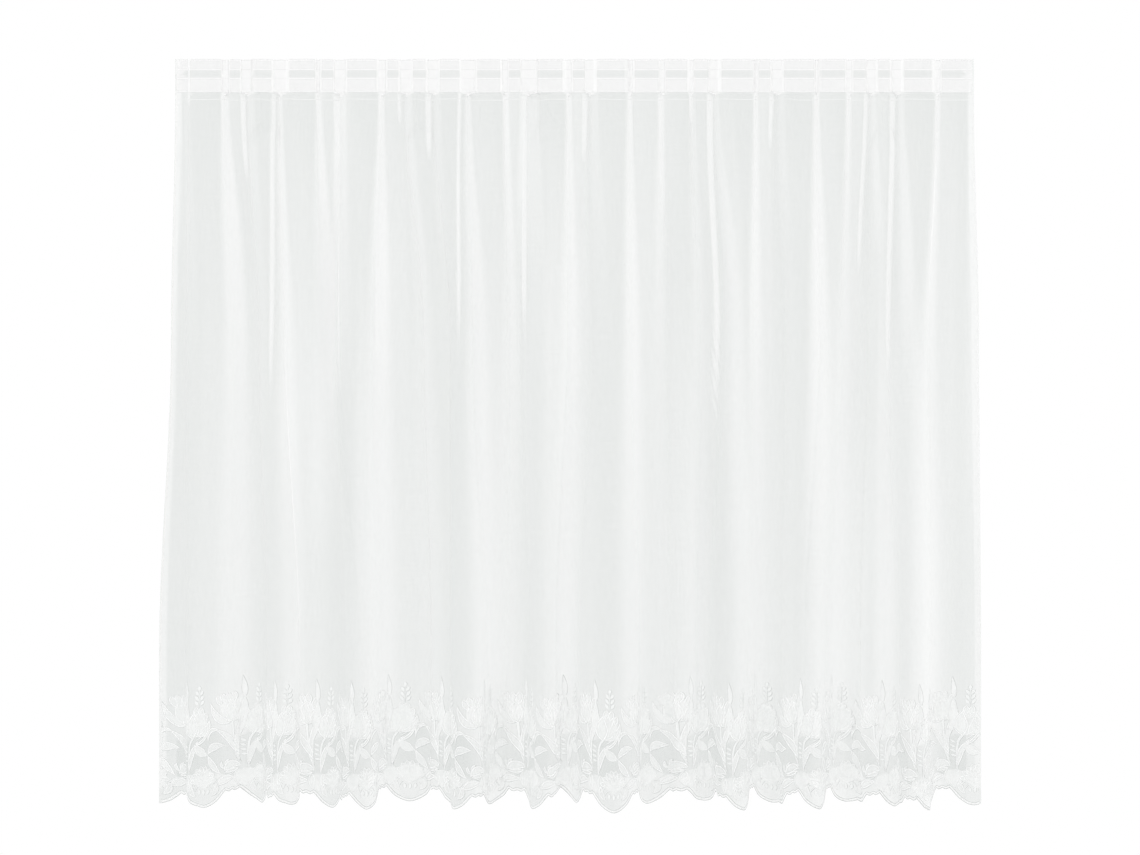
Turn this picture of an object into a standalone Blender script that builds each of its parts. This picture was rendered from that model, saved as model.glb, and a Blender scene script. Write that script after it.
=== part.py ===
"""Lace curtain: a sheer net panel, pleated at the top by its sewn-on heading tape, hanging in uneven folds to a
scalloped hem. Metres, +Z up, front facing -Y. The origin is the middle of the top edge."""

import bmesh
import bpy
import numpy as np

MM = 0.001

REPEATS = 20  # repeats of the woven border across the panel
REPEAT = 118 * MM  # one repeat along the cloth
FLAT_WIDTH = REPEATS * REPEAT
DROP = 1440 * MM  # top edge to the lowest point of a scallop
CLOTH_THICKNESS = 1.0 * MM
TAPE_DROP = 66 * MM  # height of the heading tape
TAPE_THICKNESS = 1.0 * MM
TAPE_GAP = 0.3 * MM  # clear space between the cloth and the tape behind it
TAPE_INSET = 4 * MM  # the tape starts this far in from the side edges
LAYER_PITCH = 4.8 * MM  # from one layer of a pleat to the next
SPRUNG_DROP = 118 * MM  # where a pleat has sprung open below the tape
SETTLED_DROP = 1150 * MM  # below this the folds hang straight down
MIDDLE_DROP = 543 * MM  # the drop at which the table's middle column holds
SPRUNG_ANGLE = 106  # degrees that a fold is turned through where its pleat has sprung open
CREASED_ANGLE = 90  # the same where its crease ends
RELAXED_OVER = 420 * MM  # drop over which a crease opens out
TURN_LENGTH = 1.06  # half length of a tight turn, in layer pitches
ROUNDNESS = 1.1  # softness of an open turn, in half lengths of its fold
CRISPNESS = 0.3  # the same for a crease
TAKE_GAIN = 1.25  # a rounded fold is longer than a square one that takes up as much cloth
HEM_ANGLE = 67  # degrees that a fold is turned through at the hem
LEAST_SLACK = 4 * MM  # cloth that every gap between folds takes up at the hem
LEAST_HALF = 0.5 * MM  # a fold of a smaller half length has died out
PLEAT_REACH = 3.0  # from the middle of a pleat to the end of its outer layers, in half lengths
PLEAT_ROOM = 0.86  # largest share that this takes of the way to the next pleat

# Side edges across from the middle line: at the tape, at the middle drop and at the hem.
LEFT_EDGE = (-775 * MM, -783 * MM, -806 * MM)
RIGHT_EDGE = (775 * MM, 785 * MM, 789 * MM)

# One row for each fold, in millimetres and from left to right.
# at_tape, at_middle, at_hem: how far the fold lies across from the middle line
# tuck: width of the pleat at the tape
# hem_run: distance along the cloth, from its left edge, at which the fold lies at the hem
# creased_to: drop at which its crease has opened out
# turn: 1 where the cloth turns away from the room there, -1 where it turns back
# swing: 1 for a fold that reaches the hem at full depth, 0 for one that dies out on the way
FOLD_COLUMNS = ("at_tape", "at_middle", "at_hem", "tuck", "hem_run", "creased_to", "turn", "swing")
FOLD_ROWS = (
    (-748, -752, -752, 2, 56, 140, -1, 0.35),
    (-678, -662, -659, 14, 172, 140, 1, 0.5),
    (-635, -612, -597, 23, 266, 235, -1, 1.0),
    (-571, -560, -533, 25, 372, 681, -1, 0.3),
    (-498, -490, -453, 8, 496, 140, 1, 1.0),
    (-455, -459, -412, 23, 566, 780, -1, 0.4),
    (-373, -385, -379, 14, 625, 743, 1, 1.0),
    (-327, -292, -278, 23, 749, 150, -1, 0.4),
    (-274, -240, -240, 21, 798, 200, -1, 1.0),
    (-206, -193, -170, 27, 907, 625, 1, 1.0),
    (-134, -128, -129, 12, 975, 140, -1, 0.3),
    (-88, -98, -88, 33, 1030, 630, 1, 1.0),
    (-12, -14, -36, 12, 1116, 140, 1, 0.3),
    (29, 32, 7, 19, 1180, 220, -1, 1.0),
    (108, 110, 127, 10, 1375, 140, 1, 1.0),
    (171, 182, 191, 12, 1457, 140, -1, 0.2),
    (226, 242, 236, 10, 1500, 140, 1, 0.4),
    (270, 296, 273, 19, 1562, 795, -1, 1.0),
    (352, 348, 339, 10, 1680, 140, 1, 1.0),
    (393, 408, 401, 21, 1782, 175, -1, 0.5),
    (471, 476, 447, 8, 1850, 140, -1, 0.3),
    (532, 517, 488, 12, 1918, 140, 1, 1.0),
    (576, 568, 554, 19, 2020, 493, -1, 0.4),
    (625, 616, 631, 19, 2136, 737, -1, 1.0),
    (704, 686, 690, 12, 2237, 140, 1, 1.0),
)

# Scalloped edge of one repeat, along the cloth and up from the lowest point.
BULGE_AT = 107 * MM  # first whole bulge, from the left edge
BULGE_HALF_WIDTH = 30 * MM
BULGE_RISE = 11 * MM
SLOPE_WIDTH = 15 * MM
LOBE_WIDTH = 14 * MM
NOTCH_RISE = 20 * MM
LOBE_RISE = 15 * MM

CLOTH_ROWS = (0, 22, 44, 66, 88, 118, 165, 235, 340, 480, 660, 870, 1070)  # drops of the cloth's mesh rows
BORDER_ROWS = (1190, 1320)  # rows whose points follow the scallops
TAPE_ROWS = (0, 22, 44, 66)
TURN_SPAN = 0.6  # share of a turn's length that its two mesh columns stand apart
COLUMN_ROOM = 0.8  # a fold's outer mesh columns keep to this share of the way to the next fold
INNER_SHARES = (0.2, 0.6)  # least and most of the outer columns' distance for the inner ones
EDGE_CLEAR = 2 * MM  # no scallop column comes nearer to a side edge
SECTION_POINTS = 4001  # points that each section is worked out at

folds = {name: np.array(column, float) for name, column in zip(FOLD_COLUMNS, zip(*FOLD_ROWS))}


def smooth_step(value):
    value = np.clip(value, 0.0, 1.0)
    return value * value * (3.0 - 2.0 * value)


def between(drop, at_tape, at_middle, at_hem):
    """A size at this drop, from its sizes at the tape, the middle drop and the hem."""
    upper = smooth_step((drop - TAPE_DROP) / (MIDDLE_DROP - TAPE_DROP))
    lower = smooth_step((drop - MIDDLE_DROP) / (SETTLED_DROP - MIDDLE_DROP))
    return at_tape + (at_middle - at_tape) * upper + (at_hem - at_middle) * lower


def slack_shares(across, runs, left, right):
    """How much cloth each full fold takes up at the hem: half of the slack on each side of it."""
    full = folds["swing"] >= 1.0
    stops = np.concatenate([[left], across[full], [right]])
    along = np.concatenate([[0.0], runs[full], [FLAT_WIDTH]])
    slack = np.maximum(np.diff(along) - np.diff(stops), LEAST_SLACK)
    share = 0.5 * (slack[:-1] + slack[1:])
    share[0] += 0.5 * slack[0]
    share[-1] += 0.5 * slack[-1]
    shares = np.zeros(len(across))
    shares[full] = share
    weak = (folds["swing"] > 0.0) & ~full
    shares[weak] = folds["swing"][weak] * share.mean()
    return shares


def folds_at(drop):
    """Each fold at this drop: places across and along the cloth, half length, angle, softness of its two turns and
    how much of it is left."""
    tuck = folds["tuck"] * MM
    at_tape = folds["at_tape"] * MM
    at_hem = folds["at_hem"] * MM
    across = between(drop, at_tape, folds["at_middle"] * MM, at_hem)
    before = np.concatenate([[0.0], np.cumsum(2.0 * tuck)[:-1]])
    tape_run = at_tape - LEFT_EDGE[0] + tuck + before
    hem_run = folds["hem_run"] * MM
    settled = smooth_step((drop - SPRUNG_DROP) / (SETTLED_DROP - SPRUNG_DROP))
    run = tape_run + (hem_run - tape_run) * settled

    sprung = smooth_step((drop - TAPE_DROP) / (SPRUNG_DROP - TAPE_DROP))
    creased_to = folds["creased_to"] * MM
    relaxed = smooth_step((drop - creased_to) / RELAXED_OVER)
    opened = smooth_step((drop - SPRUNG_DROP) / (creased_to - SPRUNG_DROP))
    angle = 180.0 + (SPRUNG_ANGLE - 180.0) * sprung + (CREASED_ANGLE - SPRUNG_ANGLE) * opened
    angle = np.radians(angle + (HEM_ANGLE - CREASED_ANGLE) * relaxed)

    dies_out = folds["swing"] <= 0.0
    fading = np.where(dies_out, smooth_step((drop - creased_to) / RELAXED_OVER), 0.0)
    hem_take = slack_shares(at_hem, hem_run, LEFT_EDGE[2], RIGHT_EDGE[2])
    take = (2.0 * tuck + (hem_take - 2.0 * tuck) * np.maximum(settled, fading)) * (1.0 + (TAKE_GAIN - 1.0) * sprung)
    half = 0.5 * take / (1.0 - np.cos(angle))

    tight = TURN_LENGTH * LAYER_PITCH
    crisp = CRISPNESS * half
    rounded = ROUNDNESS * half
    soft_left = tight + (crisp - tight) * sprung + (rounded - crisp) * relaxed
    soft_right = tight + (rounded - tight) * sprung
    return across, run, half, angle, soft_left, soft_right, 1.0 - fading


def section(drop):
    """The cloth's cross-section at this drop: places along the cloth, and the x and y of each."""
    across, run, half, angle, soft_left, soft_right, left_over = folds_at(drop)
    along = np.linspace(0.0, FLAT_WIDTH, SECTION_POINTS)
    middles = 0.5 * (along[1:] + along[:-1])
    turned = np.zeros(len(middles))
    for row in range(len(run)):
        if half[row] < LEAST_HALF:
            continue
        rising = np.clip((middles - run[row] + half[row]) / soft_left[row], -1.0, 1.0)
        falling = np.clip((middles - run[row] - half[row]) / soft_right[row], -1.0, 1.0)
        bump = 0.5 * (np.sin(0.5 * np.pi * rising) - np.sin(0.5 * np.pi * falling))
        turned += folds["turn"][row] * angle[row] * bump
    step = along[1] - along[0]
    x = np.concatenate([[0.0], np.cumsum(np.cos(turned) * step)])
    y = np.concatenate([[0.0], np.cumsum(np.sin(turned) * step)])

    # Each fold's middle is pinned to its place across and to the curtain's plane; one that dies out lets go.
    left = between(drop, *LEFT_EDGE)
    right = between(drop, *RIGHT_EDGE)
    pins = np.concatenate([[0.0], run, [FLAT_WIDTH]])
    places = np.concatenate([[left], across, [right]])
    x_at_pins = np.interp(pins, along, x)
    y_at_pins = np.interp(pins, along, y)
    stretch = np.diff(places) / np.diff(x_at_pins)
    piece = np.clip(np.searchsorted(pins, along, side="right") - 1, 0, len(stretch) - 1)
    x = places[piece] + (x - x_at_pins[piece]) * stretch[piece]
    held = np.concatenate([[True], folds["swing"] > 0.0, [True]])
    eased = np.interp(pins, pins[held], y_at_pins[held])
    left_over = np.concatenate([[1.0], left_over, [1.0]])
    offsets = eased + (y_at_pins - eased) * left_over
    # The offset changes between folds and not within one, so that a pleat's layers keep their pitch.
    room = 0.5 * np.diff(pins)
    reach = PLEAT_REACH * half + np.maximum(soft_left, soft_right)
    reach *= 1.0 - smooth_step((drop - TAPE_DROP) / TAPE_DROP)
    starts = run - np.minimum(reach, PLEAT_ROOM * room[:-1])
    ends = run + np.minimum(reach, PLEAT_ROOM * room[1:])
    edges = np.concatenate([[0.0], np.column_stack([starts, ends]).ravel(), [FLAT_WIDTH]])
    y = y - np.interp(along, edges, np.concatenate([[0.0], np.repeat(offsets[1:-1], 2), [offsets[-1]]]))
    return along, x, y


def fold_columns(drop):
    """Places along the cloth of the mesh columns that follow the folds: the ends of each turn, and a middle between."""
    _, run, half, _, soft_left, soft_right, _ = folds_at(drop)
    half = np.maximum(half, 0.5 * LAYER_PITCH)
    stops = np.concatenate([[0.0], run, [FLAT_WIDTH]])
    room = 0.5 * np.diff(stops)
    least, most = INNER_SHARES
    columns = [0.0]
    for row in range(len(run)):
        far = min(half[row] + TURN_SPAN * soft_left[row], COLUMN_ROOM * room[row])
        near = max(half[row] - TURN_SPAN * soft_left[row], least * min(half[row], far))
        columns += [0.5 * (columns[-1] + run[row] - far), run[row] - far, run[row] - min(near, most * far)]
        far = min(half[row] + TURN_SPAN * soft_right[row], COLUMN_ROOM * room[row + 1])
        near = max(half[row] - TURN_SPAN * soft_right[row], least * min(half[row], far))
        columns += [run[row] + min(near, most * far), run[row] + far]
    columns += [0.5 * (columns[-1] + FLAT_WIDTH), FLAT_WIDTH]
    return np.array(columns)


def scallop_marks():
    """Places along one repeat, from its bulge's middle, that the scalloped edge needs."""
    bulge = BULGE_HALF_WIDTH * np.sin(np.radians([-90, -52, -25, 0, 25, 52, 90]))
    notch = BULGE_HALF_WIDTH + SLOPE_WIDTH
    lobes = notch + 0.5 * LOBE_WIDTH * np.arange(5)
    return np.concatenate([bulge, lobes])


def hem_rise(along):
    """How far the scalloped edge lies above its lowest point."""
    offset = np.abs((along - BULGE_AT + 0.5 * REPEAT) % REPEAT - 0.5 * REPEAT)
    notch = BULGE_HALF_WIDTH + SLOPE_WIDTH
    bulge = BULGE_RISE * (1.0 - np.sqrt(np.clip(1.0 - (offset / BULGE_HALF_WIDTH) ** 2, 0.0, 1.0)))
    slope = BULGE_RISE + (NOTCH_RISE - BULGE_RISE) * (offset - BULGE_HALF_WIDTH) / SLOPE_WIDTH
    lobe = NOTCH_RISE - (NOTCH_RISE - LOBE_RISE) * np.abs(np.sin(np.pi * (offset - notch) / LOBE_WIDTH))
    return np.where(offset < BULGE_HALF_WIDTH, bulge, np.where(offset < notch, slope, lobe))


def row_points(mesh, drop, columns, rise=None):
    along, x, y = section(drop)
    fall = np.full(len(columns), drop) if rise is None else drop - rise
    row_x = np.interp(columns, along, x)
    row_y = np.interp(columns, along, y)
    return [mesh.verts.new(point) for point in zip(row_x, row_y, -fall)]


def join_rows(mesh, upper, lower):
    for left in range(len(upper) - 1):
        mesh.faces.new((upper[left], lower[left], lower[left + 1], upper[left + 1]))


def join_unlike_rows(mesh, upper, upper_places, lower, lower_places):
    """Triangles between two rows that have different columns."""
    i = j = 0
    while i < len(upper) - 1 or j < len(lower) - 1:
        down = j < len(lower) - 1 and (i == len(upper) - 1 or lower_places[j + 1] <= upper_places[i + 1])
        if down:
            mesh.faces.new((upper[i], lower[j], lower[j + 1]))
            j += 1
        else:
            mesh.faces.new((upper[i], lower[j], upper[i + 1]))
            i += 1


def add_sheet(name, mesh, collection, material, thickness, offset):
    """A solid sheet; the mesh's faces look to the front, and the sheet lies offset thicknesses from it."""
    data = bpy.data.meshes.new(name)
    mesh.normal_update()
    mesh.to_mesh(data)
    mesh.free()
    data.materials.append(material)
    obj = bpy.data.objects.new(name, data)
    collection.objects.link(obj)
    solidify = obj.modifiers.new("thickness", "SOLIDIFY")
    solidify.thickness = thickness
    solidify.offset = offset
    solidify.use_even_offset = True
    data.shade_smooth()
    return obj


def add_material(name, color, roughness):
    material = bpy.data.materials.new(name)
    material.use_nodes = True
    shader = material.node_tree.nodes["Principled BSDF"]
    shader.inputs["Base Color"].default_value = (*color, 1.0)
    shader.inputs["Roughness"].default_value = roughness
    shader.inputs["Metallic"].default_value = 0.0
    material.diffuse_color = (*color, 1.0)
    return material


def add_curtain_panel(collection):
    mesh = bmesh.new()
    upper = None
    for drop in CLOTH_ROWS:
        columns = fold_columns(drop * MM)
        row = row_points(mesh, drop * MM, columns)
        if upper:
            join_rows(mesh, upper, row)
        upper = row
    upper_places = columns

    first = BULGE_AT - REPEAT
    marks = np.concatenate([first + REPEAT * repeat + scallop_marks() for repeat in range(REPEATS + 1)])
    marks = marks[(marks > EDGE_CLEAR) & (marks < FLAT_WIDTH - EDGE_CLEAR)]
    marks = np.concatenate([[0.0], np.sort(marks), [FLAT_WIDTH]])
    row = row_points(mesh, BORDER_ROWS[0] * MM, marks)
    join_unlike_rows(mesh, upper, upper_places, row, marks)
    for drop in BORDER_ROWS[1:]:
        lower = row_points(mesh, drop * MM, marks)
        join_rows(mesh, row, lower)
        row = lower
    join_rows(mesh, row, row_points(mesh, DROP, marks, hem_rise(marks)))
    net = add_material("white_net", (0.86, 0.87, 0.86), 0.85)
    return add_sheet("curtain_panel", mesh, collection, net, CLOTH_THICKNESS, 0.0)


def add_heading_tape(collection):
    mesh = bmesh.new()
    upper = None
    for drop in TAPE_ROWS:
        columns = fold_columns(drop * MM)
        columns[0] = TAPE_INSET
        columns[-1] = FLAT_WIDTH - TAPE_INSET
        row = row_points(mesh, drop * MM, columns)
        if upper:
            join_rows(mesh, upper, row)
        upper = row
    tape = add_material("white_tape", (0.9, 0.9, 0.9), 0.8)
    # The tape lies behind the panel's mid surface: half the cloth, the gap, then its own thickness.
    near = 0.5 * CLOTH_THICKNESS + TAPE_GAP
    return add_sheet("heading_tape", mesh, collection, tape, TAPE_THICKNESS, -1.0 - 2.0 * near / TAPE_THICKNESS)


def main():
    for obj in list(bpy.data.objects):
        bpy.data.objects.remove(obj)
    collection = bpy.data.collections.new("lace_curtain")
    bpy.context.scene.collection.children.link(collection)
    add_curtain_panel(collection)
    add_heading_tape(collection)


main()
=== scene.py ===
import math

import bpy
import numpy as np
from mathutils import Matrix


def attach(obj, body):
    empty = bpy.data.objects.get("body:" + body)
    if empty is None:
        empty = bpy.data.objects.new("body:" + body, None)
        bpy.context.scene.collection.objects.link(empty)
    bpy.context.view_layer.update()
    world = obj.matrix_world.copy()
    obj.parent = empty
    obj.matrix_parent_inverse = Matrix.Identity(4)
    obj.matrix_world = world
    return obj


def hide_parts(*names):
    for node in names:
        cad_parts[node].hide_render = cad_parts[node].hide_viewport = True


print("Loading the packed curtain")
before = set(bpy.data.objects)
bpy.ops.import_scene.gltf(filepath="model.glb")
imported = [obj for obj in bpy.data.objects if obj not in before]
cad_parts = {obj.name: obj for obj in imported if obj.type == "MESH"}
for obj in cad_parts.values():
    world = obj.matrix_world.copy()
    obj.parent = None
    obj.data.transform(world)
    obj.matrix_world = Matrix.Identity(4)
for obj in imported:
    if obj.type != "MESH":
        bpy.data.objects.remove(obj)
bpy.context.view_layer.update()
mm = 0.001

# The curtain's own sizes. Drops go down from the top edge, and runs along the flat cloth from its left edge.
curtain = {
    "repeats": 20,  # flower repeats across the border
    "repeat": 118 * mm,
    "firstAt": 41 * mm,  # run to the first tall flower
    "drop": 1447 * mm,
    "tapeDrop": 66 * mm,
    "tapeInset": 4 * mm,
    "middleDrop": 543 * mm,
    "settledDrop": 1150 * mm,  # the folds hang straight down below this
    "leftEdge": (-775 * mm, -783 * mm, -806 * mm),  # across at the tape, the middle drop and the hem
    "rightEdge": (775 * mm, 785 * mm, 789 * mm),
    "springDrop": 63.5 * mm,  # a pleat starts to spring open here, and has done so at the next drop
    "sprungDrop": 77 * mm,
    "springSoon": 3.0,  # most of it happens at the start
    "angles": (180, 85, 83, 77),  # degrees a fold turns through when pressed, sprung, creased and at the hem
    "relaxedOver": 420 * mm,  # a crease opens out over this drop
    "pleatTurn": 2.968 * mm,  # length of a pressed pleat's turn
    "roundness": 1.05,  # length of a soft turn and of a creased one, in half lengths of the fold
    "crispness": 0.3,
    "takeGain": 1.42,  # a sprung fold takes up this much more cloth
    "leastSlack": 4 * mm,
    "pleatReach": 3.0,  # cloth beside a pleat that is moved with it, in half lengths
    "pleatRoom": 0.43,  # and at most this share of the run to the next fold
    "pleatFade": 110 * mm,
    "flatTo": 64 * mm,  # pleats are pressed flat down to here
    "deepFrom": 330 * mm,  # and the folds have their full depth from here on
    "flattenedBy": 0.82,
    "sectionPoints": 4001,
}
flatWidth = curtain["repeats"] * curtain["repeat"]

# One row for each fold, in millimetres, from left to right: across at the tape, middle drop and hem, pleat
# width, run at the hem, drop where its crease ends, way it turns, and how much of it reaches the hem.
foldColumns = ("atTape", "atMiddle", "atHem", "tuck", "hemRun", "creasedTo", "turn", "swing")
foldRows = (
    (-748, -752, -752, 2, 56, 140, -1, 0.35),
    (-678, -662, -659, 14, 172, 140, 1, 0.5),
    (-635, -612, -597, 23, 266, 235, -1, 1),
    (-571, -560, -533, 25, 372, 520, -1, 0.3),
    (-498, -490, -453, 8, 496, 140, 1, 1),
    (-455, -459, -412, 23, 566, 780, -1, 0.4),
    (-373, -385, -379, 14, 625, 743, 1, 1),
    (-327, -292, -278, 23, 749, 150, -1, 0.4),
    (-274, -240, -240, 21, 798, 200, -1, 1),
    (-206, -193, -170, 27, 907, 625, 1, 1),
    (-134, -128, -129, 12, 975, 140, -1, 0.3),
    (-88, -98, -88, 33, 1030, 630, 1, 1),
    (-12, -14, -36, 12, 1116, 140, 1, 0.3),
    (29, 32, 7, 19, 1180, 220, -1, 1),
    (108, 110, 127, 10, 1375, 140, 1, 1),
    (171, 182, 191, 12, 1457, 140, -1, 0.2),
    (226, 242, 236, 10, 1500, 140, 1, 0.4),
    (270, 296, 273, 19, 1562, 795, -1, 1),
    (352, 348, 339, 10, 1680, 140, 1, 1),
    (393, 408, 401, 21, 1782, 175, -1, 0.5),
    (471, 476, 447, 8, 1850, 140, -1, 0.3),
    (532, 517, 488, 12, 1918, 140, 1, 1),
    (576, 568, 554, 19, 2020, 493, -1, 0.4),
    (625, 616, 631, 19, 2136, 737, -1, 1),
    (704, 686, 690, 12, 2237, 140, 1, 1),
)


def tableColumns(names, rows, plain):  # millimetres are turned into metres, plain numbers are not
    columns = {name: np.array(column, float) for name, column in zip(names, zip(*rows))}
    return {name: column if name in plain else column * mm for name, column in columns.items()}


folds = tableColumns(foldColumns, foldRows, ("turn", "swing"))

# Scalloped edge of one repeat, along the cloth and up from the lowest point.
scallop = {
    "bulgeAt": 107 * mm,
    "bulgeHalfWidth": 30 * mm,
    "bulgeRise": 15 * mm,
    "bulgeRound": 1.7,
    "slopeWidth": 15 * mm,
    "lobeWidth": 14 * mm,
    "notchRise": 32.5 * mm,
    "lobeRise": 29.5 * mm,
}


def smoothStep(value):
    value = np.clip(value, 0.0, 1.0)
    return value * value * (3.0 - 2.0 * value)


def stepBetween(value, start, end):  # rises smoothly from 0 at the start to 1 at the end
    return smoothStep((value - start) / (end - start))


def blend(first, last, share):
    return first + (last - first) * share


def bell(away, width):
    return np.exp(-0.5 * (away / width) ** 2)


def withEnds(first, values, last):
    return np.concatenate([[first], values, [last]])


def between(drop, atTape, atMiddle, atHem):
    upper = stepBetween(drop, curtain["tapeDrop"], curtain["middleDrop"])
    lower = stepBetween(drop, curtain["middleDrop"], curtain["settledDrop"])
    return atTape + (atMiddle - atTape) * upper + (atHem - atMiddle) * lower


def takenAtHem():  # how much cloth each fold takes up at the hem
    full = folds["swing"] >= 1.0
    across = withEnds(curtain["leftEdge"][2], folds["atHem"][full], curtain["rightEdge"][2])
    run = withEnds(0.0, folds["hemRun"][full], flatWidth)
    slack = np.maximum(np.diff(run) - np.diff(across), curtain["leastSlack"])
    share = 0.5 * (slack[:-1] + slack[1:])
    share[0] += 0.5 * slack[0]
    share[-1] += 0.5 * slack[-1]
    taken = folds["swing"] * share.mean()
    taken[full] = share
    return taken


hemTake = takenAtHem()
tapeRun = folds["atTape"] - curtain["leftEdge"][0] + 2.0 * np.cumsum(folds["tuck"]) - folds["tuck"]


def foldsAt(drop):  # each fold's place across, run, half length, angle, and softness of its two turns
    tuck, creasedTo = folds["tuck"], folds["creasedTo"]
    springDrop, sprungDrop = curtain["springDrop"], curtain["sprungDrop"]
    across = between(drop, folds["atTape"], folds["atMiddle"], folds["atHem"])
    settled = stepBetween(drop, sprungDrop, curtain["settledDrop"])
    run = blend(tapeRun, folds["hemRun"], settled)

    sprung = np.clip((drop - springDrop) / (sprungDrop - springDrop), 0.0, 1.0)
    sprung = 1.0 - (1.0 - sprung) ** curtain["springSoon"]
    relaxed = smoothStep((drop - creasedTo) / curtain["relaxedOver"])
    opened = stepBetween(drop, sprungDrop, creasedTo)
    flat, steep, creased, atHem = np.radians(curtain["angles"])
    angle = blend(flat, steep, sprung) + (creased - steep) * opened + (atHem - creased) * relaxed

    take = blend(2.0 * tuck, hemTake, settled)
    half = 0.5 * take * blend(1.0, curtain["takeGain"], sprung) / (1.0 - np.cos(angle))
    crisp, rounded = curtain["crispness"] * half, curtain["roundness"] * half
    softLeft = blend(curtain["pleatTurn"], crisp, sprung) + (rounded - crisp) * relaxed
    softRight = blend(curtain["pleatTurn"], rounded, sprung)
    return across, run, half, angle, softLeft, softRight


sectionAlong = np.linspace(0.0, flatWidth, curtain["sectionPoints"])


def sectionAt(drop):  # cross-section of the cloth: x, y and the angle it is turned to
    across, run, half, angle, softLeft, softRight = foldsAt(drop)
    middles = 0.5 * (sectionAlong[1:] + sectionAlong[:-1])
    away = middles[:, None] - run
    rising = np.clip((away + half) / softLeft, -1.0, 1.0)
    falling = np.clip((away - half) / softRight, -1.0, 1.0)
    bumps = 0.5 * (np.sin(0.5 * np.pi * rising) - np.sin(0.5 * np.pi * falling))
    turned = np.clip((bumps * folds["turn"] * angle).sum(axis=1), -angle.max(), angle.max())
    x, y = (np.append(0.0, np.cumsum(part * sectionAlong[1])) for part in (np.cos(turned), np.sin(turned)))

    # Each fold is pinned to its place across, and its cloth is brought back to the middle plane.
    pins = withEnds(0.0, run, flatWidth)
    places = withEnds(between(drop, *curtain["leftEdge"]), across, between(drop, *curtain["rightEdge"]))
    xAtPins = np.interp(pins, sectionAlong, x)
    yAtPins = np.interp(pins, sectionAlong, y)
    stretch = np.diff(places) / np.diff(xAtPins)
    piece = np.clip(np.searchsorted(pins, sectionAlong, side="right") - 1, 0, len(stretch) - 1)
    x = places[piece] + (x - xAtPins[piece]) * stretch[piece]
    room = curtain["pleatRoom"] * np.diff(pins)
    reach = curtain["pleatReach"] * half + np.maximum(softLeft, softRight)
    reach *= 1.0 - smoothStep((drop - curtain["tapeDrop"]) / curtain["pleatFade"])
    starts = run - np.minimum(reach, room[:-1])
    ends = run + np.minimum(reach, room[1:])
    edges = withEnds(0.0, np.column_stack([starts, ends]).ravel(), flatWidth)
    offsets = withEnds(0.0, np.repeat(yAtPins[1:-1], 2), yAtPins[-1])
    y -= np.interp(sectionAlong, edges, offsets)
    y *= 1.0 - curtain["flattenedBy"] * (1.0 - stepBetween(drop, curtain["flatTo"], curtain["deepFrom"]))
    return x, y, np.interp(sectionAlong, middles, turned)


def hemRise(along):  # how far the scalloped edge lies above its lowest line
    half, repeat = scallop["bulgeHalfWidth"], curtain["repeat"]
    offset = np.abs((along - scallop["bulgeAt"] + 0.5 * repeat) % repeat - 0.5 * repeat)
    notch = half + scallop["slopeWidth"]
    bulge = scallop["bulgeRise"] * (offset / half) ** scallop["bulgeRound"]
    slope = blend(scallop["bulgeRise"], scallop["notchRise"], (offset - half) / scallop["slopeWidth"])
    lobes = np.abs(np.sin(np.pi * (offset - notch) / scallop["lobeWidth"]))
    lobe = blend(scallop["notchRise"], scallop["lobeRise"], lobes)
    return np.where(offset < half, bulge, np.where(offset < notch, slope, lobe))


# Runs, and how much lower the hem hangs there, in millimetres: most just right of the folds, where the cloth
# comes forward.
hemSags = (
    (0, 0), (30, 12), (60, 12), (95, 1), (262, 0), (270, 17), (285, 16), (305, 9), (330, 0), (490, 0),
    (500, 18), (520, 18), (550, 12), (590, 4), (625, 0), (685, 2), (749, 0), (798, 2), (850, 6), (885, 8),
    (915, 5), (940, 0), (1025, 0), (1040, 7), (1075, 15), (1108, 15), (1125, 0), (1215, -5), (1290, 0),
    (1400, 0), (1440, 8), (1470, 0), (1515, -4), (1560, 0), (1575, 9), (1600, 8), (1630, 3), (1680, 0),
    (1775, 2), (1788, 11), (1830, 5), (1880, 5), (1918, 0), (2015, 0), (2028, 12), (2080, 11), (2120, 3),
    (2136, 6), (2148, 13), (2200, 12), (2237, 5), (2337, 4), (2360, 0),
)


def sagAt(along, drop):
    places, amounts = np.array(hemSags, float).T * mm
    share = (drop - curtain["middleDrop"]) / (curtain["drop"] - curtain["middleDrop"])
    return np.interp(along, places, amounts) * smoothStep(share)


print("Working out the hung folds")
hang = {
    "rowsDown": (  # from, to and how many mesh rows
        (0, 46, 8), (46, 78, 16), (78, 130, 10), (130, 300, 12), (300, 1180, 24),
        (1180, 1288, 4), (1288, 1324, 11), (1324, 1376, 7), (1376, 1447, 21),
    ),
    "stepsBetween": 6,  # mesh columns between two folds, round each turn and inside a fold
    "stepsInTurn": 8,
    "stepsInFold": 6,
    "leastHalf": 1.4 * mm,
    "leastSpan": 0.15,  # the columns of a turn end between these shares of its reach
    "mostSpan": 0.6,
    "columnRoom": 0.4,  # and it reaches at most this share of the run to the next fold
    "evenFrom": 300 * mm,  # columns change from following the folds to even ones
    "evenAt": 1180 * mm,
    "hemStart": 1320 * mm,  # rows below this follow the scallops
}


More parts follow.
